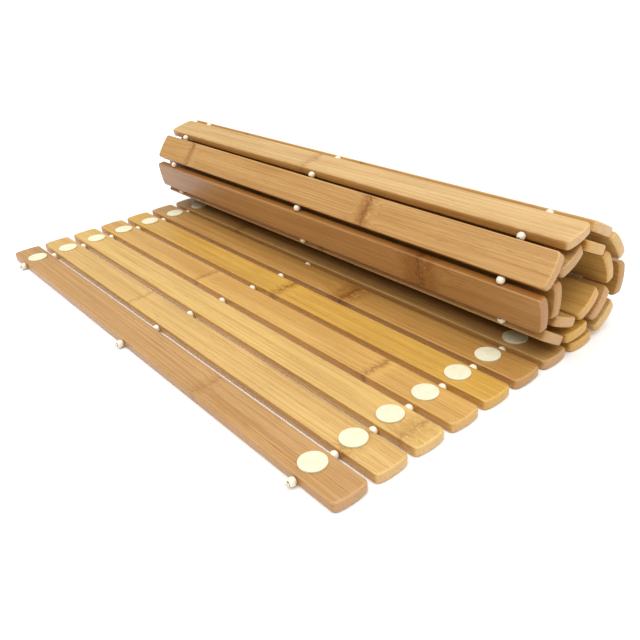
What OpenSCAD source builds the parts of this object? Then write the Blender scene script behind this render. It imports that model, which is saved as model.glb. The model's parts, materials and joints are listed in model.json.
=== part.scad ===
// Roll-up bamboo slat mat, partly unrolled.
// The slats run along X and follow each other along Y, front slat first.
// The first slats lie flat on the floor, with their anti-slip pads up.
// The rest wind up and over into a loose roll, with their pads inside.
// Three cords run through the slats, with a bead on each cord in every gap.
// Origin: middle of the bounding box in X and Y, on the floor in Z. Units: mm.

/* [Slats] */
// Length of a slat, across the mat
slat_len = 400; // [380:5:600]
// Width of a slat
slat_w = 20.5; // [20.3:0.1:20.7]
// Thickness of a slat
slat_t = 6; // [5.8:0.1:6.2]
// Distance from one slat to the next on the flat mat
pitch = 25; // [25:0.1:25.2]
// Slats that lie flat in front of the roll
flat_slats = 8; // [3:1:11]
// Rounding of a slat's long edges
edge_r = 1; // [0.6:0.1:1.4]
// Rounding of a slat's corners, seen from above
corner_r = 3; // [2:0.5:5]
// Rounding of the edges at a slat's two ends
end_r = 1.2; // [0.8:0.1:1.6]

/* [Cords and beads] */
// Distance of the two outer cords from mid-length
cord_x = 172.5; // [150:0.5:180]
// Diameter of a cord
cord_d = 1; // [0.8:0.1:1]
// Diameter of the holes through the slats
hole_d = 2.2; // [2.2:0.1:2.6]
// Diameter of a bead
bead_d = 4.8; // [4.4:0.1:4.8]
// Diameter of the knot at each end of a cord
knot_d = 2.8; // [2.4:0.1:2.8]
// Length of the knot along its cord
knot_len = 1.9; // [1.8:0.1:2.4]

/* [Pads] */
// Diameter of an anti-slip pad
pad_d = 14.5; // [12:0.5:16]
// Height of a pad above its slat
pad_h = 1.2; // [0.8:0.1:1.2]
// Width and height of the bevel round a pad
pad_bevel = 0.4; // [0.2:0.1:0.5]

/* [Hidden] */
$fn = 48;
eps = 0.01;
// Bend at each gap of the roll, in degrees: once round the outside, then the inner turn
outer_bends = [35, 50, 43, 24, 40, 40, 45, 51, 35];
inner_bends = [43, 66, 42, 52, 64, 67, 58];
bends = concat(outer_bends, inner_bends);
slats = flat_slats + len(bends);
cord_xs = [-cord_x, 0, cord_x];
pad_xs = [-cord_x, cord_x];
// A cord presses on the outer side of its holes, away from the roll's middle
cord_off = 0.4;
cord_sides = 8;
// The hole through a bead is narrowest in its middle and widens by this much per mm
bead_hole_r = 1;
bead_flare = 0.24;
// From a stop bead's centre to the knot in its mouth, the bevel round the knot,
// and the gap between the knot and the end of its cord
knot_seat = 1.75;
knot_bevel = 0.5;
seat_gap = 0.05;

// Angle of slat k about X: 0 on the flat part, and growing round the roll
function turn(k) = k <= flat_slats ? 0 : turn(k - 1) + bends[k - flat_slats - 1];
// Unit vectors in the YZ plane: along a slat's width, and out of its pad side
function along(a) = [cos(a), sin(a)];
function out(a) = [-sin(a), cos(a)];
// Where slat k hinges on slat k + 1: the middle of the gap, at half thickness
function raw_pivot(k) =
    k <= flat_slats
        ? [k * pitch, slat_t / 2]
        : raw_pivot(k - 1) + pitch * along(turn(k));
// Furthest back that the rounded corners of slat k reach
function reach(k) =
    raw_pivot(k - 1)[0] + pitch / 2 * cos(turn(k))
    + abs(cos(turn(k))) * (slat_w / 2 - edge_r)
    + abs(sin(turn(k))) * (slat_t / 2 - edge_r)
    + edge_r;
front_y = -knot_seat - knot_len;
back_y = max([for (k = [flat_slats + 1:slats]) reach(k)]);
mid_y = (front_y + back_y) / 2;
function pivot(k) = raw_pivot(k) - [mid_y, 0];
function centre(k) = pivot(k - 1) + pitch / 2 * along(turn(k));
// Angle of the bead between slats k and k + 1: half way through the bend
function bead_turn(k) = k < 1 || k >= slats ? turn(max(k, 1)) : (turn(k) + turn(k + 1)) / 2;

// A cord's route in the YZ plane, as [point, angle of the cord there]
function on_slat(k, d) = [
    centre(k) + d * along(turn(k)) - cord_off * out(turn(k)),
    turn(k)
];
function at_pivot(k) = [pivot(k) - cord_off * out(bead_turn(k)), bead_turn(k)];
route = concat(
    [on_slat(1, -pitch / 2 - knot_seat + seat_gap), on_slat(flat_slats, slat_w / 2)],
    [
        for (k = [flat_slats + 1:slats])
            for (p = [at_pivot(k - 1), on_slat(k, -slat_w / 2), on_slat(k, slat_w / 2)]) p
    ],
    [on_slat(slats, pitch / 2 + knot_seat - seat_gap)]
);

function two_digits(k) = str(k < 10 ? "0" : "", k);
function slat_name(k) = str("slat_", two_digits(k));
function fittings_name(k) = str("pads_and_beads_", two_digits(k));

// Bamboo differs a little from slat to slat
function bamboo(k) = [0.80 + 0.04 * sin(97 * k), 0.60 + 0.05 * sin(61 * k), 0.36 + 0.04 * sin(43 * k)];

// Puts a child that was drawn about slat k's centre in its place on the mat
module on_mat(k) {
    translate([0, centre(k)[0], centre(k)[1]]) rotate([turn(k), 0, 0]) children();
}

// Puts a child that was drawn about the origin in the gap after slat k
module in_gap(k) {
    translate([0, pivot(k)[0], pivot(k)[1]]) rotate([bead_turn(k), 0, 0]) children();
}

// A rectangle about the origin with its corners rounded by arcs of radius r
module rounded_rect(w, h, r) {
    square([w - 2 * r, h], center = true);
    square([w, h - 2 * r], center = true);
    for (sx = [-1, 1], sy = [-1, 1])
        translate([sx * (w / 2 - r), sy * (h / 2 - r)]) circle(r = r);
}

// A solid with a rounded outline in the YZ plane, the XY plane and the XZ plane
module slat_blank() {
    intersection() {
        rotate([90, 0, 90])
            linear_extrude(slat_len + 2 * eps, center = true) rounded_rect(slat_w, slat_t, edge_r);
        linear_extrude(slat_t + 2 * eps, center = true) rounded_rect(slat_len, slat_w, corner_r);
        rotate([90, 0, 0])
            linear_extrude(slat_w + 2 * eps, center = true) rounded_rect(slat_len, slat_t, end_r);
    }
}

module slat(k) {
    color(bamboo(k)) on_mat(k) difference() {
        slat_blank();
        for (x = cord_xs)
            translate([x, 0, 0]) rotate([90, 0, 0]) cylinder(d = hole_d, h = slat_w + 2, center = true);
    }
}

module pad() {
    rotate_extrude() polygon([
        [0, 0],
        [pad_d / 2, 0],
        [pad_d / 2, pad_h - pad_bevel],
        [pad_d / 2 - pad_bevel, pad_h],
        [0, pad_h]
    ]);
}

// A ball with an hourglass hole along Y
module bead() {
    flare_end = bead_hole_r + bead_flare * bead_d;
    difference() {
        sphere(d = bead_d);
        rotate([90, 0, 0]) rotate_extrude() polygon([
            [0, -bead_d],
            [flare_end, -bead_d],
            [bead_hole_r, 0],
            [flare_end, bead_d],
            [0, bead_d]
        ]);
    }
}

module bead_row(k) {
    in_gap(k) for (x = cord_xs) translate([x, 0, 0]) bead();
}

// The two pads of slat k, and the three beads of the gap that turns with it:
// the gap behind it in front of the roll, and the gap before it in the roll
module pads_and_beads(k) {
    color("cornsilk") {
        on_mat(k) for (x = pad_xs) translate([x, 0, slat_t / 2]) pad();
        if (k < flat_slats) bead_row(k);
        if (k > flat_slats) bead_row(k - 1);
    }
}

module front_stop_beads() {
    color("cornsilk") bead_row(0);
}

module rear_stop_beads() {
    color("cornsilk") bead_row(slats);
}

// A tight knot as a round barrel, standing on the XY plane
module knot() {
    rotate_extrude() polygon([
        [0, 0],
        [knot_d / 2 - knot_bevel, 0],
        [knot_d / 2, knot_bevel],
        [knot_d / 2, knot_len - knot_bevel],
        [knot_d / 2 - knot_bevel, knot_len],
        [0, knot_len]
    ]);
}

// Knots in the mouths of the stop beads, on the side away from the mat
module knots(k, side) {
    color("ivory") in_gap(k) for (x = cord_xs)
        translate([x, side * knot_seat, 0]) rotate([-side * 90, 0, 0]) knot();
}

module front_knots() {
    knots(0, -1);
}

module rear_knots() {
    knots(slats, 1);
}

// One cord, whole, along its route through the slats and beads
module cord(x) {
    last = len(route) - 1;
    step = 360 / cord_sides;
    points = [
        for (p = route)
            for (j = [0:cord_sides - 1])
                let (side = cord_d / 2 * cos(j * step), rise = cord_d / 2 * sin(j * step))
                    [x + side, p[0][0] + rise * out(p[1])[0], p[0][1] + rise * out(p[1])[1]]
    ];
    ends = [
        [for (j = [0:cord_sides - 1]) j],
        [for (j = [0:cord_sides - 1]) (last + 1) * cord_sides - 1 - j]
    ];
    walls = [
        for (i = [0:last - 1])
            for (j = [0:cord_sides - 1])
                let (a = i * cord_sides, b = a + cord_sides, n = (j + 1) % cord_sides)
                    for (t = [[a + j, b + j, b + n], [a + j, b + n, a + n]]) t
    ];
    color("wheat") polyhedron(points, concat(ends, walls));
}

module left_cord() {
    cord(-cord_x);
}

module middle_cord() {
    cord(0);
}

module right_cord() {
    cord(cord_x);
}

for (k = [1:slats])
    slat(k);
for (k = [1:slats])
    pads_and_beads(k);
front_stop_beads();
rear_stop_beads();
front_knots();
rear_knots();
left_cord();
middle_cord();
right_cord();
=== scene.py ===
"""Looks of a roll-up bamboo slat mat, partly unrolled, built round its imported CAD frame.

Lengths are in metres unless a name ends in _mm. Rows are numbered from the free front slat.
"""
import json
import math
import random

import bpy
from mathutils import Matrix, Vector

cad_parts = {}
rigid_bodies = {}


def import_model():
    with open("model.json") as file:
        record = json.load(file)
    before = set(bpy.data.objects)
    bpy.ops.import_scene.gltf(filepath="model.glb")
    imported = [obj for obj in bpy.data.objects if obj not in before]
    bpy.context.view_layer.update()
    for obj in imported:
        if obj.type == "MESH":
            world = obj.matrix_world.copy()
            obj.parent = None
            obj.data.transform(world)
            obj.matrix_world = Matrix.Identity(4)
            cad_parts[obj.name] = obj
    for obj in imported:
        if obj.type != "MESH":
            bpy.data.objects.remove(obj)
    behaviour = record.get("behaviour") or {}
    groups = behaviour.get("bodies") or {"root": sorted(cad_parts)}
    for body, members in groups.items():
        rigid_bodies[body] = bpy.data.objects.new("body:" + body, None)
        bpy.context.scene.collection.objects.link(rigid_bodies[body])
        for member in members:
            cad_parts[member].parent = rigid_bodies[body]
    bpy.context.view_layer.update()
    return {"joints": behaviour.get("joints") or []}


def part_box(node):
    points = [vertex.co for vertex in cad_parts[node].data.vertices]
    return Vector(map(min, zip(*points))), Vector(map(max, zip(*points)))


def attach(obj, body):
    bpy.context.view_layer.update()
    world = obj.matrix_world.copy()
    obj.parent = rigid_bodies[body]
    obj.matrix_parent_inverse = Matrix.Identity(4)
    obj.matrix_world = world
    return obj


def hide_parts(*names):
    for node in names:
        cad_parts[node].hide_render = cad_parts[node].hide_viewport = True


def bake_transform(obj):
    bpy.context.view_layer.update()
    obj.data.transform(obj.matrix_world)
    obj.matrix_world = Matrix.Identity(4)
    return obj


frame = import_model()

MM = 0.001


# ---------------------------------------------------------------- the mat's layout, from the frame

def row_number(body):
    return int(body.rsplit("_", 1)[1])


def along(angle):
    """Unit vector along the width of a slat that is turned by angle about X."""
    return Vector((0, math.cos(angle), math.sin(angle)))


def out(angle):
    """Unit vector out of the pad side of such a slat."""
    return Vector((0, -math.sin(angle), math.cos(angle)))


pivots, bends = {}, {}
for joint in frame["joints"]:
    before, after = sorted(row_number(joint[end]) for end in ("parent", "child"))
    pivots[before] = Vector(joint["pos_m"])
    rolled = joint["name"].startswith("unroll")
    bends[before] = math.radians(-joint["range_deg"][0]) if rolled else 0.0
ROWS = len(pivots) + 1
PITCH = (pivots[2] - pivots[1]).length

turns = {1: 0.0}
for row in range(1, ROWS):
    turns[row + 1] = turns[row] + bends[row]
centres = {1: pivots[1] - along(0) * PITCH / 2}
for row in range(2, ROWS + 1):
    centres[row] = pivots[row - 1] + along(turns[row]) * PITCH / 2
pivots[0] = centres[1] - along(0) * PITCH / 2
pivots[ROWS] = centres[ROWS] + along(turns[ROWS]) * PITCH / 2
gap_turns = {row: (turns[row] + turns[row + 1]) / 2 for row in range(1, ROWS)}
gap_turns[0], gap_turns[ROWS] = turns[1], turns[ROWS]

slat_low, slat_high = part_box("slat_01")
SLAT_L, SLAT_W, SLAT_T = slat_high - slat_low
pad_low, pad_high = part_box("pads_and_beads_08")
PAD_R = (pad_high.y - pad_low.y) / 2
PAD_H = pad_high.z - pad_low.z
CORD_X = pad_high.x - PAD_R
bead_low, bead_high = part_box("front_stop_beads")
BEAD_R = (bead_high.z - bead_low.z) / 2
cord_low, cord_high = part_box("left_cord")
CORD_R = (cord_high.x - cord_low.x) / 2
CORD_LINES = (-CORD_X, 0.0, CORD_X)
PAD_LINES = (-CORD_X, CORD_X)
HOLE_R = 1.1 * MM
CORD_OFF = 0.4 * MM


def row_place(row):
    """Where a piece drawn about a slat's centre goes on the mat."""
    return Matrix.Translation(centres[row]) @ Matrix.Rotation(turns[row], 4, "X")


def gap_place(row):
    """Where a piece drawn about the origin goes in the gap after a row."""
    return Matrix.Translation(pivots[row]) @ Matrix.Rotation(gap_turns[row], 4, "X")


# ---------------------------------------------------------------- mesh helpers

def mesh_piece(name, verts, faces, material, smooth_below=40):
    """A mesh object in the scene, smooth except where faces meet at a larger angle."""
    mesh = bpy.data.meshes.new(name)
    mesh.from_pydata([tuple(v) for v in verts], [], faces)
    return finish_mesh(name, mesh, material, smooth_below)


def finish_mesh(name, mesh, material, smooth_below=40):
    mesh.validate()
    mesh.update()
    mesh.shade_smooth()
    mesh.set_sharp_from_angle(angle=math.radians(smooth_below))
    mesh.materials.clear()
    mesh.materials.append(material)
    piece = bpy.data.objects.new(name, mesh)
    bpy.context.scene.collection.objects.link(piece)
    return piece


def add_part(verts, faces, part, place):
    """Adds (verts, faces) of one part to running lists, moved by place."""
    start = len(verts)
    verts.extend(place @ Vector(v) for v in part[0])
    faces.extend([start + i for i in face] for face in part[1])


def lathe(profile, steps):
    """Turns a closed (radius, height) profile round Z. Points on the axis become one vertex."""
    verts, rings = [], []
    for radius, height in profile:
        if radius < 1e-9:
            rings.append([len(verts)] * steps)
            verts.append((0.0, 0.0, height))
            continue
        rings.append(list(range(len(verts), len(verts) + steps)))
        for i in range(steps):
            a = 2 * math.pi * i / steps
            verts.append((radius * math.cos(a), radius * math.sin(a), height))
    faces = []
    for lower, upper in zip(rings, rings[1:]):
        for i in range(steps):
            j = (i + 1) % steps
            corners = (lower[i], lower[j], upper[j], upper[i])
            faces.append([c for n, c in enumerate(corners) if c not in corners[:n]])
    return verts, faces


def tube(path, radius, sides):
    """A closed round tube along points in space, with its ends capped."""
    verts, faces = [], []
    normal = Vector((1, 0, 0))
    for i, point in enumerate(path):
        tangent = (path[min(i + 1, len(path) - 1)] - path[max(i - 1, 0)]).normalized()
        normal = (normal - tangent * normal.dot(tangent)).normalized()
        side = tangent.cross(normal)
        for j in range(sides):
            a = 2 * math.pi * j / sides
            verts.append(point + (normal * math.cos(a) + side * math.sin(a)) * radius)
    for i in range(len(path) - 1):
        for j in range(sides):
            k = (j + 1) % sides
            faces.append([i * sides + j, i * sides + k, (i + 1) * sides + k, (i + 1) * sides + j])
    last = (len(path) - 1) * sides
    faces.append(list(reversed(range(sides))))
    faces.append([last + j for j in range(sides)])
    return verts, faces


# ---------------------------------------------------------------- materials

# A Mix node keeps its colour sockets behind its number and vector sockets
MIX_SHARE, MIX_COLOUR_A, MIX_COLOUR_B, MIX_COLOUR_OUT = 0, 6, 7, 2


class Shader:
    """A material with one Principled surface, and short calls that add and wire its nodes."""

    def __init__(self, name):
        self.material = bpy.data.materials.new(name)
        self.material.use_nodes = True
        self.tree = self.material.node_tree
        self.tree.nodes.clear()
        output = self.tree.nodes.new("ShaderNodeOutputMaterial")
        self.surface = self.tree.nodes.new("ShaderNodeBsdfPrincipled")
        self.tree.links.new(self.surface.outputs[0], output.inputs["Surface"])

    def put(self, socket, value):
        if isinstance(value, bpy.types.NodeSocket):
            self.tree.links.new(value, socket)
        elif isinstance(value, tuple) and len(value) == 3 and len(socket.default_value) == 4:
            socket.default_value = (*value, 1.0)
        else:
            socket.default_value = value

    def node(self, kind, inputs, **settings):
        made = self.tree.nodes.new("ShaderNode" + kind)
        for key, value in settings.items():
            setattr(made, key, value)
        for key, value in inputs.items():
            self.put(made.inputs[key], value)
        return made

    def math(self, operation, a, b=0.0, clamp=False):
        return self.node("Math", {0: a, 1: b}, operation=operation, use_clamp=clamp).outputs[0]

    def mix(self, share, a, b, blend="MIX"):
        inputs = {MIX_SHARE: share, MIX_COLOUR_A: a, MIX_COLOUR_B: b}
        return self.node("Mix", inputs, data_type="RGBA", blend_type=blend).outputs[MIX_COLOUR_OUT]

    def step(self, value, low, high, to_low=0.0, to_high=1.0):
        """Eases from to_low to to_high as value goes from low to high."""
        inputs = {0: value, 1: low, 2: high, 3: to_low, 4: to_high}
        return self.node("MapRange", inputs, interpolation_type="SMOOTHSTEP").outputs[0]

    def scaled(self, coordinates, scale, shift=(0, 0, 0)):
        inputs = {"Vector": coordinates, "Scale": scale, "Location": shift}
        return self.node("Mapping", inputs).outputs[0]

    def noise(self, coordinates, detail=2.0, rough=0.5, distortion=0.0):
        inputs = {"Vector": coordinates, "Scale": 1.0, "Detail": detail, "Roughness": rough}
        inputs["Distortion"] = distortion
        return self.node("TexNoise", inputs).outputs[0]

    def bump(self, height, distance, strength=1.0, normal=None):
        inputs = {"Height": height, "Distance": distance, "Strength": strength}
        if normal is not None:
            inputs["Normal"] = normal
        return self.node("Bump", inputs).outputs[0]

    def finish(self, colour, rough, normal=None, fixed=()):
        """Wires colour, roughness and normal, and sets what is the same all over."""
        self.put(self.surface.inputs["Base Color"], colour)
        self.put(self.surface.inputs["Roughness"], rough)
        if normal is not None:
            self.put(self.surface.inputs["Normal"], normal)
        for key, value in fixed:
            self.put(self.surface.inputs[key], value)
        return self.material


# Tones of bamboo, as linear red, green and blue
TONES = {
    "pinkish tan": (0.500, 0.290, 0.110),
    "honey": (0.630, 0.410, 0.140),
    "light gold": (0.650, 0.430, 0.136),
    "orange tan": (0.605, 0.360, 0.098),
    "gold": (0.590, 0.350, 0.068),
    "tan": (0.455, 0.250, 0.068),
    "wheat": (0.600, 0.390, 0.155),
    "rose tan": (0.485, 0.290, 0.100),
    "light tan": (0.530, 0.305, 0.105),
    "red brown": (0.400, 0.205, 0.066),
}
SLAT_TONES = {
    1: "pinkish tan", 2: "honey", 3: "light gold", 4: "orange tan", 5: "gold", 6: "tan",
    7: "rose tan", 8: "gold", 9: "honey", 10: "tan", 11: "honey", 12: "wheat",
    13: "wheat", 14: "light tan", 15: "red brown", 16: "rose tan", 17: "gold",
}
INNER_TONES = ("orange tan", "rose tan", "tan", "light tan", "orange tan")
# Where a slat's growth nodes cross it: (place along the slat in mm, strength, width in mm)
GROWTH_NODES = {
    1: [(83, 0.35, 6)],
    2: [(-43, 0.35, 3), (176, 0.6, 6)],
    3: [(188, 0.6, 8)],
    4: [(-38, 0.6, 3), (137, 0.8, 3)],
    5: [(22, 0.9, 5)],
    6: [(61, 1.5, 9)],
    7: [(-95, 0.7, 6)],
    13: [(-13, 0.5, 5)],
    14: [(-151, 0.9, 4), (64, 1.3, 6)],
    15: [(116, 1.7, 11)],
}
VARNISH = (("Coat Weight", 0.35), ("Coat Roughness", 0.25), ("Specular IOR Level", 0.45))
# How far the line of a growth node, and the fibres beside it, stray from straight
WANDER_MM = 11.0
SWIRL_MM = 16.0
# Every slat reads its own stretch of the noise patterns
SEED_STEP = 37.0


NODE_SEED = 700


def growth_nodes(row):
    """The bands that cross a slat: those listed, or two at seeded places."""
    if row in GROWTH_NODES:
        return GROWTH_NODES[row]
    draw = random.Random(NODE_SEED + row)
    first = draw.uniform(-170, 10)
    return [(first, draw.uniform(0.5, 1.0), draw.uniform(3, 7)),
            (first + draw.uniform(120, 165), draw.uniform(0.5, 1.0), draw.uniform(3, 7))]


def slat_tone(row):
    return TONES[SLAT_TONES.get(row, INNER_TONES[row % len(INNER_TONES)])]


def tinted(tone, *shares):
    """A tone with its red, green and blue each multiplied by a share."""
    return tuple(value * share for value, share in zip(tone, shares))


def bamboo(row):
    """Varnished bamboo, read in each slat's own millimetres from the attribute grain_mm."""
    s = Shader(f"bamboo_{row:02d}")
    tone = slat_tone(row)
    light = tinted(tone, 1.15, 1.15, 1.15)
    dark = tinted(tone, 0.74, 0.60, 0.40)
    brown = tinted(tone, 0.44, 0.28, 0.13)
    grain = s.node("Attribute", {}, attribute_name="grain_mm").outputs["Vector"]
    x, y, z = s.node("SeparateXYZ", {0: grain}).outputs
    seed = SEED_STEP * row

    # Distance along the slat from the nearest growth node, with a ragged, bowed line
    ragged = s.noise(s.scaled(grain, (0.03, 0.34, 0.3), (seed, 31, 7)), 6.0, 0.72)
    wander = s.math("MULTIPLY", s.math("SUBTRACT", ragged, 0.5), WANDER_MM)
    offsets = []
    near = 0.0
    for place, strength, width in growth_nodes(row):
        off = s.math("SUBTRACT", s.math("ADD", x, wander), float(place))
        distance = s.math("ABSOLUTE", off)
        offsets.append((off, distance, strength, width))
        near = s.math("MAXIMUM", near, s.step(distance, width * 3.2, 0.0, 0.0, strength))

    # Fibres run straight, and swirl beside a growth node
    swirl = s.noise(s.scaled(grain, (0.10, 0.16, 0.16), (seed, 61, 5)), 2.0)
    sideways = s.math("MULTIPLY", s.math("SUBTRACT", swirl, 0.5), SWIRL_MM)
    push = s.math("MULTIPLY", sideways, near)
    fibre = s.node("CombineXYZ", {0: x, 1: s.math("ADD", y, push), 2: z}).outputs[0]
    drift = s.noise(s.scaled(grain, (0.012, 0.03, 0.03), (seed, 3, 0)), 2.0)
    bands = s.noise(s.scaled(fibre, (0.005, 0.22, 0.24), (seed, 0, 0)), 3.0)
    streaks = s.noise(s.scaled(fibre, (0.012, 0.85, 0.95), (seed, 5, 0)), 5.0, 0.68)
    lines = s.noise(s.scaled(fibre, (0.006, 1.05, 1.05), (seed, 13, 0)), 3.0, 0.62)
    threads = s.noise(s.scaled(fibre, (0.030, 4.0, 4.0), (seed, 9, 0)), 3.0, 0.6)
    colour = s.mix(s.step(bands, 0.34, 0.62), s.mix(0.55, tone, dark), tone)
    colour = s.mix(s.step(drift, 0.38, 0.68, 0.0, 0.50), colour, light)
    colour = s.mix(s.step(streaks, 0.50, 0.66, 0.0, 0.60), colour, light)
    colour = s.mix(s.step(streaks, 0.48, 0.34, 0.0, 0.62), colour, dark)
    colour = s.mix(s.step(lines, 0.50, 0.60, 0.0, 0.56), colour, dark)
    colour = s.mix(s.step(lines, 0.47, 0.38, 0.0, 0.38), colour, light)
    colour = s.mix(s.step(threads, 0.52, 0.66, 0.0, 0.40), colour, dark)

    # Vascular bundles: short dark dashes along the fibres
    dashes = s.noise(s.scaled(fibre, (0.13, 2.9, 2.9), (seed, 17, 3)), 1.0)
    crowd = s.noise(s.scaled(grain, (0.012, 0.25, 0.3), (seed, 23, 1)), 1.0)
    dash = s.math("MULTIPLY", s.step(dashes, 0.60, 0.69), s.step(crowd, 0.44, 0.62, 0.12, 0.8))
    colour = s.mix(s.math("MULTIPLY", dash, 0.55), colour, brown)

    # Growth nodes: a broken line across the slat, in a mottled patch, with a pale side beyond
    mottle = s.noise(s.scaled(fibre, (0.24, 0.80, 0.8), (seed, 41, 2)), 5.0, 0.70, 0.8)
    blots = s.noise(s.scaled(fibre, (0.75, 0.50, 0.5), (seed, 43, 6)), 3.0, 0.62, 0.4)
    stain = tuple((a + b) / 2 for a, b in zip(dark, brown))
    clouds = s.noise(s.scaled(grain, (0.07, 0.16, 0.16), (seed, 47, 8)), 2.0)
    ridge = 0.0
    for off, distance, strength, width in offsets:
        halo = s.math("MULTIPLY", s.step(off, 0.5, 3.0), s.step(off, 12.0, 3.0))
        colour = s.mix(s.math("MULTIPLY", halo, 0.50 * strength, True), colour, light)
        around = s.step(distance, width * 1.6, width * 0.3)
        patch = s.math("MULTIPLY", around, s.step(mottle, 0.40, 0.54))
        colour = s.mix(s.math("MULTIPLY", patch, 0.85 * strength, True), colour, stain)
        smudge = s.math("MULTIPLY", s.step(distance, width * 2.2, 0.0), s.step(clouds, 0.30, 0.62))
        colour = s.mix(s.math("MULTIPLY", smudge, 0.045 * width * strength, True), colour, dark)
        line = s.math("MULTIPLY", s.step(distance, width * 0.45, 0.5), s.step(blots, 0.44, 0.52))
        colour = s.mix(s.math("MULTIPLY", line, 0.66 * strength, True), colour, brown)
        seam = s.math("MULTIPLY", s.step(distance, 0.9, 0.2), s.step(mottle, 0.40, 0.55, 0.1, 1.0))
        colour = s.mix(s.math("MULTIPLY", seam, 0.60 * strength, True), colour, brown)
        ridge = s.math("ADD", ridge, s.math("MULTIPLY", s.step(distance, 3.0, 0.0), strength))

    # Painted shade: the long sides, which face into the gaps between slats, are painted darker than
    # the faces
    half_l, half_w, half_t = (v / MM / 2 for v in (SLAT_L, SLAT_W, SLAT_T))
    side_shade = s.step(s.math("SUBTRACT", half_w, s.math("ABSOLUTE", y)), 0.45, 0.10)
    colour = s.mix(s.math("MULTIPLY", side_shade, 0.85), colour, (0.90, 0.76, 0.50), "MULTIPLY")

    # Ends: paler end grain with its pores, and a painted highlight along the edges
    bow = s.math("MULTIPLY", s.math("MULTIPLY", y, y), END_BOW_MM / half_w ** 2)
    end_gap = s.math("SUBTRACT", half_l, s.math("ADD", s.math("ABSOLUTE", x), bow))
    at_end = s.step(end_gap, 1.1, 0.3)
    pores = s.node("TexVoronoi", {"Vector": s.scaled(grain, (0.4, 1.3, 1.3)), "Scale": 1.0})
    pale = tinted(tone, 1.02, 0.98, 1.05)
    end_colour = s.mix(s.step(pores.outputs[0], 0.36, 0.12, 0.0, 0.60), pale, brown)
    colour = s.mix(at_end, colour, end_colour)
    # Painted highlight: the rounded edges are lightened in patches, where the varnish would catch
    # the light
    near_side = s.step(s.math("SUBTRACT", half_w, s.math("ABSOLUTE", y)), 1.0, 0.15)
    near_face = s.step(s.math("SUBTRACT", half_t, s.math("ABSOLUTE", z)), 1.0, 0.15)
    near_end = s.step(end_gap, 1.7, 0.3)
    edge = s.math("MULTIPLY", s.math("MAXIMUM", near_side, near_end), near_face)
    highlight_patches = s.noise(s.scaled(grain, (0.12, 0.5, 0.5), (seed, 51, 4)), 3.0, 0.6)
    edge = s.math("MULTIPLY", edge, s.step(highlight_patches, 0.36, 0.60, 0.35, 0.9))
    edge_highlight_colour = tinted(light, 1.10, 1.13, 1.30)
    colour = s.mix(s.math("MULTIPLY", edge, 0.60), colour, edge_highlight_colour)

    rough = s.math("ADD", s.step(streaks, 0.3, 0.7, 0.36, 0.50), s.math("MULTIPLY", at_end, 0.22))
    height = s.math("ADD", s.math("MULTIPLY", threads, 0.6), s.math("MULTIPLY", streaks, 0.4))
    height = s.math("SUBTRACT", height, s.math("MULTIPLY", dash, 0.35))
    normal = s.bump(height, 0.00003, 0.5)
    normal = s.bump(ridge, 0.00012, 0.5, normal)
    return s.finish(colour, rough, normal, VARNISH)


def rubber():
    """Cream anti-slip rubber: matt, a little cloudy, with fine moulded grain."""
    s = Shader("cream_rubber")
    place = s.node("Attribute", {}, attribute_name="grain_mm").outputs["Vector"]
    clouds = s.noise(s.scaled(place, (0.22, 0.22, 0.22)), 3.0)
    grain = s.noise(s.scaled(place, (4.5, 4.5, 4.5)), 3.0, 0.6)
    specks = s.noise(s.scaled(place, (1.3, 1.3, 1.3), (3, 8, 1)), 2.0)
    colour = s.mix(s.step(clouds, 0.35, 0.68), (0.730, 0.692, 0.485), (0.775, 0.742, 0.545))
    colour = s.mix(s.step(specks, 0.66, 0.78, 0.0, 0.14), colour, (0.58, 0.52, 0.32))
    rough = s.step(grain, 0.3, 0.7, 0.50, 0.66)
    return s.finish(colour, rough, s.bump(grain, 0.00008, 0.5), (("Specular IOR Level", 0.40),))


def bead_plastic():
    """Glossy cream beads, clouded a little warmer here and there."""
    s = Shader("cream_beads")
    place = s.node("Attribute", {}, attribute_name="grain_mm").outputs["Vector"]
    swirl = s.noise(s.scaled(place, (0.5, 0.5, 0.5)), 3.0, 0.5, 1.2)
    fine = s.noise(s.scaled(place, (5.0, 5.0, 5.0)), 2.0)
    colour = s.mix(s.step(swirl, 0.35, 0.7), (0.830, 0.750, 0.570), (0.900, 0.850, 0.715))
    rough = s.step(fine, 0.3, 0.7, 0.20, 0.32)
    gloss = (("Coat Weight", 0.3), ("Coat Roughness", 0.1))
    return s.finish(colour, rough, s.bump(fine, 0.00003, 0.4), gloss)


def cord_fibre():
    """Natural twisted cord: fine hairs along the strands."""
    s = Shader("twisted_cord")
    place = s.node("Attribute", {}, attribute_name="grain_mm").outputs["Vector"]
    hairs = s.noise(s.scaled(place, (3.0, 1.2, 3.0)), 3.0, 0.65)
    colour = s.mix(s.step(hairs, 0.35, 0.65), (0.640, 0.560, 0.400), (0.860, 0.800, 0.640))
    return s.finish(colour, s.step(hairs, 0.3, 0.7, 0.65, 0.85), s.bump(hairs, 0.0001, 0.6))


def floor_paint():
    """Plain pale studio floor with the faintest mottle."""
    s = Shader("studio_floor")
    place = s.node("TexCoord", {}).outputs["Object"]
    mottle = s.noise(s.scaled(place, (6.0, 6.0, 6.0)), 2.0)
    colour = s.mix(s.step(mottle, 0.3, 0.7), (0.93, 0.93, 0.93), (0.95, 0.95, 0.95))
    return s.finish(colour, s.step(mottle, 0.3, 0.7, 0.78, 0.84))


# ---------------------------------------------------------------- slats

EDGE_R = 1.0 * MM
END_R = 1.5 * MM
CORNER_R = 3.0 * MM
END_BOW_MM = 1.2
END_BOW = END_BOW_MM * MM
ARC_STEPS = 7
ROUND_STEPS = 5
DRILL_SIDES = 24
SHORTEST, LONGEST = 1 - 0.0010, 1 + 0.0002


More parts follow.
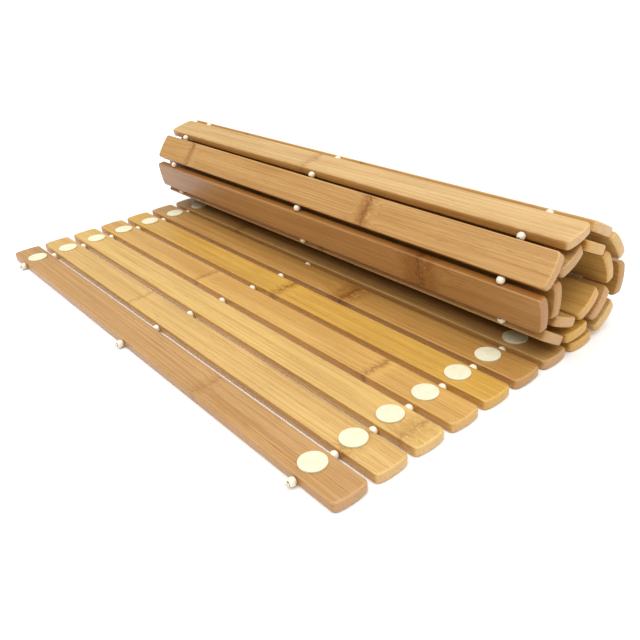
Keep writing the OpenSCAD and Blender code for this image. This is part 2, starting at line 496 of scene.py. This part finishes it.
def slat_outline():
    """A slat's plan outline, anticlockwise: (point, outward normal, edge radius there).
    Its ends bow out, and round corners lead into its straight long edges."""
    half_w = SLAT_W / 2
    bow_r = (half_w ** 2 + END_BOW ** 2) / (2 * END_BOW)
    bow_x = SLAT_L / 2 - bow_r
    corner_y = half_w - CORNER_R
    corner_x = bow_x + math.sqrt((bow_r - CORNER_R) ** 2 - corner_y ** 2)
    turn_in = math.atan2(corner_y, corner_x - bow_x)
    right = []
    for i in range(ARC_STEPS + 1):
        a = -math.pi / 2 + (math.pi / 2 - turn_in) * i / ARC_STEPS
        share = i / ARC_STEPS
        point = (corner_x + CORNER_R * math.cos(a), -corner_y + CORNER_R * math.sin(a))
        right.append((point, (math.cos(a), math.sin(a)), EDGE_R + (END_R - EDGE_R) * share))
    for i in range(1, 2 * ARC_STEPS):
        a = -turn_in + turn_in * i / ARC_STEPS
        point = (bow_x + bow_r * math.cos(a), bow_r * math.sin(a))
        right.append((point, (math.cos(a), math.sin(a)), END_R))
    mirrored = [((x, -y), (nx, -ny), r) for (x, y), (nx, ny), r in right[:ARC_STEPS + 1]]
    right += reversed(mirrored)
    left = [((-x, -y), (-nx, -ny), r) for (x, y), (nx, ny), r in right]
    return right + left


def slat_blank():
    """(verts, faces) of a slat without its holes, about its centre, pad side up."""
    outline = slat_outline()
    rings = []
    for side in (-1, 1):
        for i in range(ROUND_STEPS + 1):
            a = math.pi / 2 * (1 - i / ROUND_STEPS if side < 0 else i / ROUND_STEPS)
            rings.append([
                (x - nx * r * (1 - math.cos(a)), y - ny * r * (1 - math.cos(a)),
                 side * (SLAT_T / 2 - r + r * math.sin(a)))
                for (x, y), (nx, ny), r in outline
            ])
    count = len(outline)
    verts = [v for ring in rings for v in ring]
    faces = [list(reversed(range(count)))]
    for i in range(len(rings) - 1):
        for j in range(count):
            k = (j + 1) % count
            faces.append([i * count + j, i * count + k, (i + 1) * count + k, (i + 1) * count + j])
    faces.append([(len(rings) - 1) * count + j for j in range(count)])
    return verts, faces


def drilled_slat(material):
    """The mesh of a slat with its three cord holes cut through its width."""
    blank = mesh_piece("blank", *slat_blank(), material)
    verts, faces = [], []
    profile = [(0, -SLAT_W), (HOLE_R, -SLAT_W), (HOLE_R, SLAT_W), (0, SLAT_W)]
    for x in CORD_LINES:
        drill = Matrix.Translation((x, 0, 0)) @ Matrix.Rotation(math.pi / 2, 4, "X")
        add_part(verts, faces, lathe(profile, DRILL_SIDES), drill)
    drills = mesh_piece("drills", verts, faces, material)
    cut = blank.modifiers.new("holes", "BOOLEAN")
    cut.object = drills
    cut.operation = "DIFFERENCE"
    cut.solver = "EXACT"
    graph = bpy.context.evaluated_depsgraph_get()
    mesh = bpy.data.meshes.new_from_object(blank.evaluated_get(graph))
    for piece in (blank, drills):
        bpy.data.objects.remove(piece)
    return mesh


def store_grain(mesh, seed=0.0):
    """Keeps each vertex's place in its piece, in mm, for the materials to read."""
    grain = mesh.attributes.new("grain_mm", "FLOAT_VECTOR", "POINT")
    shift = Vector((seed, 0, 0))
    for i, vertex in enumerate(mesh.vertices):
        grain.data[i].vector = vertex.co / MM + shift


def add_slats():
    materials = {row: bamboo(row) for row in range(1, ROWS + 1)}
    pattern = drilled_slat(materials[1])
    store_grain(pattern)
    draw = random.Random(24)
    for row in range(1, ROWS + 1):
        mesh = pattern.copy()
        mesh.name = f"bamboo_slat_{row:02d}"
        grow = draw.uniform(SHORTEST, LONGEST)
        mesh.transform(row_place(row) @ Matrix.Diagonal((grow, 1, 1, 1)))
        slat = finish_mesh(mesh.name, mesh, materials[row])
        even = slat.modifiers.new("even_normals", "WEIGHTED_NORMAL")
        even.keep_sharp = True
        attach(slat, f"row_{row:02d}")
        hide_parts(f"slat_{row:02d}")
    bpy.data.meshes.remove(pattern)


# ---------------------------------------------------------------- pads, beads, knots and cords

PAD_EDGE = 0.42 * MM
PAD_CROWN = 0.14 * MM
PAD_FOOT = 0.10 * MM
PAD_SIDES = 56
PAD_SLIP_X, PAD_SLIP_Y = 0.5 * MM, 0.3 * MM
PAD_GRAIN_STEP_MM = 11.0
BEAD_HOLE_R = 1.0 * MM
BEAD_FLARE = 0.24
BEAD_MOUTH_Z = 1.9 * MM
BEAD_LIP = 0.12 * MM
BEAD_SIDES = 28
BEAD_GRAIN_STEP_MM = 7.0
BEAD_SMOOTH_BELOW = 60


def pad_part():
    """A pad standing on Z = 0: a low crown, a rolled edge and a foot that draws in."""
    shoulder = PAD_R - PAD_EDGE
    profile = [(0.0, 0.0), (PAD_R - PAD_FOOT, 0.0), (PAD_R, PAD_FOOT * 1.5)]
    for i in range(7):
        a = math.pi / 2 * i / 6
        height = PAD_H - PAD_CROWN - PAD_EDGE + PAD_EDGE * math.sin(a)
        profile.append((shoulder + PAD_EDGE * math.cos(a), height))
    for i in range(1, 6):
        share = 1 - i / 5
        profile.append((shoulder * share, PAD_H - PAD_CROWN * share ** 2))
    return lathe(profile, PAD_SIDES)


def add_pads():
    material = rubber()
    draw = random.Random(48)
    for row in range(1, ROWS + 1):
        verts, faces = [], []
        for x in PAD_LINES:
            slip = Vector((x + draw.uniform(-1, 1) * PAD_SLIP_X, draw.uniform(-1, 1) * PAD_SLIP_Y,
                           SLAT_T / 2))
            spin = Matrix.Rotation(draw.uniform(0, math.pi), 4, "Z")
            add_part(verts, faces, pad_part(), Matrix.Translation(slip) @ spin)
        pads = mesh_piece(f"pads_{row:02d}", verts, faces, material)
        store_grain(pads.data, PAD_GRAIN_STEP_MM * row)
        pads.data.transform(row_place(row))
        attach(pads, f"row_{row:02d}")
        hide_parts(f"pads_and_beads_{row:02d}")


def bead_part():
    """A ball with an hourglass hole along Z and softened lips."""
    mouth = math.acos((BEAD_HOLE_R + BEAD_FLARE * BEAD_MOUTH_Z) / BEAD_R)
    profile = []
    for i in range(17):
        a = -mouth + 2 * mouth * i / 16
        profile.append((BEAD_R * math.cos(a), BEAD_R * math.sin(a)))
    top_r, top_z = profile[-1]
    inner = [(top_r - BEAD_LIP, top_z + BEAD_LIP * 0.2)]
    for i in range(7):
        z = (top_z - BEAD_LIP) * (1 - i / 3)
        inner.append((BEAD_HOLE_R + BEAD_FLARE * abs(z), z))
    inner.append((top_r - BEAD_LIP, -top_z - BEAD_LIP * 0.2))
    loop = profile + inner
    return lathe(loop + loop[:1], BEAD_SIDES)


def weld(part):
    """Merges vertices of a part that lie on each other."""
    seen, index, verts = {}, [], []
    for v in part[0]:
        key = tuple(round(c, 8) for c in v)
        if key not in seen:
            seen[key] = len(verts)
            verts.append(v)
        index.append(seen[key])
    return verts, [[index[i] for i in face] for face in part[1]]


def half_way(piece):
    """Bakes the placing of a piece in a gap into its mesh, and leaves it on no row."""
    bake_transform(piece)


def add_beads():
    material = bead_plastic()
    bead = weld(bead_part())
    draw = random.Random(72)
    for gap in range(ROWS + 1):
        verts, faces = [], []
        for x in CORD_LINES:
            spin = Matrix.Rotation(draw.uniform(0, 2 * math.pi), 4, "Z")
            lay = Matrix.Translation((x, 0, 0)) @ Matrix.Rotation(math.pi / 2, 4, "X") @ spin
            add_part(verts, faces, bead, lay)
        name = {0: "front_beads", ROWS: "rear_beads"}.get(gap, f"beads_{gap:02d}_{gap + 1:02d}")
        beads = mesh_piece(name, verts, faces, material, BEAD_SMOOTH_BELOW)
        store_grain(beads.data, BEAD_GRAIN_STEP_MM * gap)
        beads.data.transform(gap_place(gap))
        if gap == 0:
            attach(beads, "row_01")
            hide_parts("front_stop_beads")
        elif gap == ROWS:
            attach(beads, f"row_{ROWS:02d}")
            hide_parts("rear_stop_beads")
        else:
            half_way(beads)
            owner = gap if bends[gap] == 0 else gap + 1
            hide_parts(f"pads_and_beads_{owner:02d}")


KNOT_SIZE = 0.30 * MM
KNOT_CORD_R = 0.46 * MM
KNOT_OUT = 2.55 * MM
KNOT_STEPS = 48
KNOT_SIDES = 10
# Share of its loop that a knot's cord fills, so that its two ends stay apart
KNOT_TURN = 0.985
KNOT_DEPTH = 0.9


def knot_part():
    """A tied cord end: a trefoil of cord that lies across Y."""
    path = []
    for i in range(KNOT_STEPS + 1):
        a = 2 * math.pi * i / KNOT_STEPS * KNOT_TURN
        path.append(Vector((math.sin(a) + 2 * math.sin(2 * a), -math.sin(3 * a) * KNOT_DEPTH,
                            math.cos(a) - 2 * math.cos(2 * a))) * KNOT_SIZE)
    return tube(path, KNOT_CORD_R, KNOT_SIDES)


def add_knots():
    material = cord_fibre()
    for name, gap, side in (("front_knots", 0, -1), ("rear_knots", ROWS, 1)):
        verts, faces = [], []
        draw = random.Random(6 + side)
        for x in CORD_LINES:
            spin = Matrix.Rotation(draw.uniform(0, 2 * math.pi), 4, "Y")
            add_part(verts, faces, knot_part(), Matrix.Translation((x, side * KNOT_OUT, 0)) @ spin)
        knots = mesh_piece(f"{name[:-1]}_ties", verts, faces, material)
        store_grain(knots.data)
        knots.data.transform(gap_place(gap))
        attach(knots, f"row_{1 if gap == 0 else ROWS:02d}")
        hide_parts(name)


STRANDS = 3
STRAND_SIDES = 6
CORD_EASE = 0.9 * MM
STRAND_R = 0.54 * CORD_R
STRAND_OUT = CORD_R - STRAND_R
LAY_LENGTH = 3.0 * MM
CORD_STEP = 0.6 * MM
GAP_HALF = (PITCH - SLAT_W) / 2


def cord_line(gap):
    """Points of a cord from the middle of the slat before a gap to the middle of the one after."""
    points = []
    if gap > 0:
        a = turns[gap]
        points += [centres[gap] - out(a) * CORD_OFF,
                   pivots[gap] - along(a) * GAP_HALF - out(a) * CORD_OFF]
    else:
        points.append(pivots[0] - along(0) * KNOT_OUT - out(0) * CORD_OFF)
    if 0 < gap < ROWS:
        points.append(pivots[gap] - out(gap_turns[gap]) * CORD_OFF)
    if gap < ROWS:
        a = turns[gap + 1]
        points += [pivots[gap] + along(a) * GAP_HALF - out(a) * CORD_OFF,
                   centres[gap + 1] - out(a) * CORD_OFF]
    else:
        points.append(pivots[ROWS] + along(turns[ROWS]) * KNOT_OUT - out(turns[ROWS]) * CORD_OFF)
    return points


def rounded_line(points):
    """The same line with each inner corner eased, at even steps."""
    eased = [points[0]]
    for before, corner, after in zip(points, points[1:], points[2:]):
        into = (before - corner).normalized() * CORD_EASE
        away = (after - corner).normalized() * CORD_EASE
        for i in range(5):
            t = i / 4
            eased.append(corner + into * (1 - t) ** 2 + away * t ** 2)
    eased.append(points[-1])
    even = [eased[0]]
    for a, b in zip(eased, eased[1:]):
        steps = max(1, round((b - a).length / CORD_STEP))
        even += [a + (b - a) * i / steps for i in range(1, steps + 1)]
    return even


def twisted(path):
    """Three strands laid round a path that stays in a plane across X."""
    verts, faces = [], []
    lengths = [0.0]
    for a, b in zip(path, path[1:]):
        lengths.append(lengths[-1] + (b - a).length)
    for strand in range(STRANDS):
        line = []
        for i, point in enumerate(path):
            run = path[min(i + 1, len(path) - 1)] - path[max(i - 1, 0)]
            rise = run.normalized().cross(Vector((1, 0, 0)))
            a = 2 * math.pi * (lengths[i] / LAY_LENGTH + strand / STRANDS)
            line.append(point + (Vector((1, 0, 0)) * math.cos(a) + rise * math.sin(a)) * STRAND_OUT)
        add_part(verts, faces, tube(line, STRAND_R, STRAND_SIDES), Matrix.Identity(4))
    return verts, faces


def add_cords():
    material = cord_fibre()
    for gap in range(ROWS + 1):
        stretch = twisted(rounded_line(cord_line(gap)))
        verts, faces = [], []
        for x in CORD_LINES:
            add_part(verts, faces, stretch, Matrix.Translation((x, 0, 0)))
        name = {0: "cords_front", ROWS: "cords_rear"}.get(gap, f"cords_{gap:02d}_{gap + 1:02d}")
        cords = mesh_piece(name, verts, faces, material)
        store_grain(cords.data)
        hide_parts("left_cord", "middle_cord", "right_cord")
        if gap in (0, ROWS):
            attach(cords, f"row_{1 if gap == 0 else ROWS:02d}")
            continue
        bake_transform(cords)


# ---------------------------------------------------------------- floor, light and camera

FLOOR_HALF = 6.0
FLOOR_DROP = 0.2 * MM


def add_floor():
    half = FLOOR_HALF
    verts = [(-half, -half, 0), (half, -half, 0), (half, half, 0), (-half, half, 0)]
    floor = mesh_piece("floor", verts, [[0, 1, 2, 3]], floor_paint())
    floor.location.z = -FLOOR_DROP


# Strength of the background's light from the front, and from the wall behind the mat.
# It rises from one to the other between these two values of a direction's Y.
FILL = 0.30
BACK_WALL = 1.10
WALL_FROM, WALL_TO = 0.25, 0.75
# Strength, width in degrees and tilt in degrees of the overhead light
OVERHEAD = 3.3
OVERHEAD_SPREAD = 75
OVERHEAD_TILT = (14, 8, 0)


def add_lights():
    """A wide soft sun overhead, like a light tent, with a faint fill and a white back wall.
    The background itself is seen as white all round."""
    scene = bpy.context.scene
    scene.world = bpy.data.worlds.new("studio")
    scene.world.use_nodes = True
    nodes, links = scene.world.node_tree.nodes, scene.world.node_tree.links
    place = nodes.new("ShaderNodeTexCoord")
    axes = nodes.new("ShaderNodeSeparateXYZ")
    links.new(place.outputs["Generated"], axes.inputs[0])
    wall = nodes.new("ShaderNodeMapRange")
    wall.interpolation_type = "SMOOTHSTEP"
    for socket, value in zip(wall.inputs[1:5], (WALL_FROM, WALL_TO, FILL, BACK_WALL)):
        socket.default_value = value
    links.new(axes.outputs["Y"], wall.inputs[0])
    seen = nodes.new("ShaderNodeLightPath")
    white = nodes.new("ShaderNodeMath")
    white.operation = "MAXIMUM"
    links.new(seen.outputs["Is Camera Ray"], white.inputs[0])
    links.new(wall.outputs[0], white.inputs[1])
    links.new(white.outputs[0], nodes["Background"].inputs["Strength"])
    nodes["Background"].inputs["Color"].default_value = (1.0, 1.0, 1.0, 1.0)
    light = bpy.data.lights.new("overhead", "SUN")
    light.energy = OVERHEAD
    light.angle = math.radians(OVERHEAD_SPREAD)
    lamp = bpy.data.objects.new("overhead", light)
    lamp.rotation_euler = tuple(math.radians(a) for a in OVERHEAD_TILT)
    scene.collection.objects.link(lamp)
    scene.view_settings.view_transform = "Standard"


# The camera stands where the whole mat is seen as a person sees it on the floor at arm's length
CAMERA_AZIMUTH = math.radians(52.27)
CAMERA_ELEVATION = math.radians(29.15)
CAMERA_ROLL = math.radians(4.884)
CAMERA_FROM_FRONT_SLAT = Vector((0.3676, -0.1398, 0.2132))
CAMERA_LENS_MM = 38.66


def add_camera():
    data = bpy.data.cameras.new("camera")
    data.sensor_width = 36.0
    data.lens = CAMERA_LENS_MM
    data.clip_start = 0.01
    camera = bpy.data.objects.new("camera", data)
    az, el = CAMERA_AZIMUTH, CAMERA_ELEVATION
    back = Vector((math.sin(az) * math.cos(el), -math.cos(az) * math.cos(el), math.sin(el)))
    right = Vector((math.cos(az), math.sin(az), 0))
    axes = Matrix((right, back.cross(right), back)).transposed()
    turned = (axes @ Matrix.Rotation(-CAMERA_ROLL, 3, "Z")).to_4x4()
    front = Vector((0, centres[1].y, 0))
    camera.matrix_world = Matrix.Translation(front + CAMERA_FROM_FRONT_SLAT) @ turned
    bpy.context.scene.collection.objects.link(camera)
    bpy.context.scene.camera = camera


# ---------------------------------------------------------------- the scene

add_camera()
add_floor()
add_lights()
add_slats()
add_pads()
add_beads()
add_knots()
add_cords()
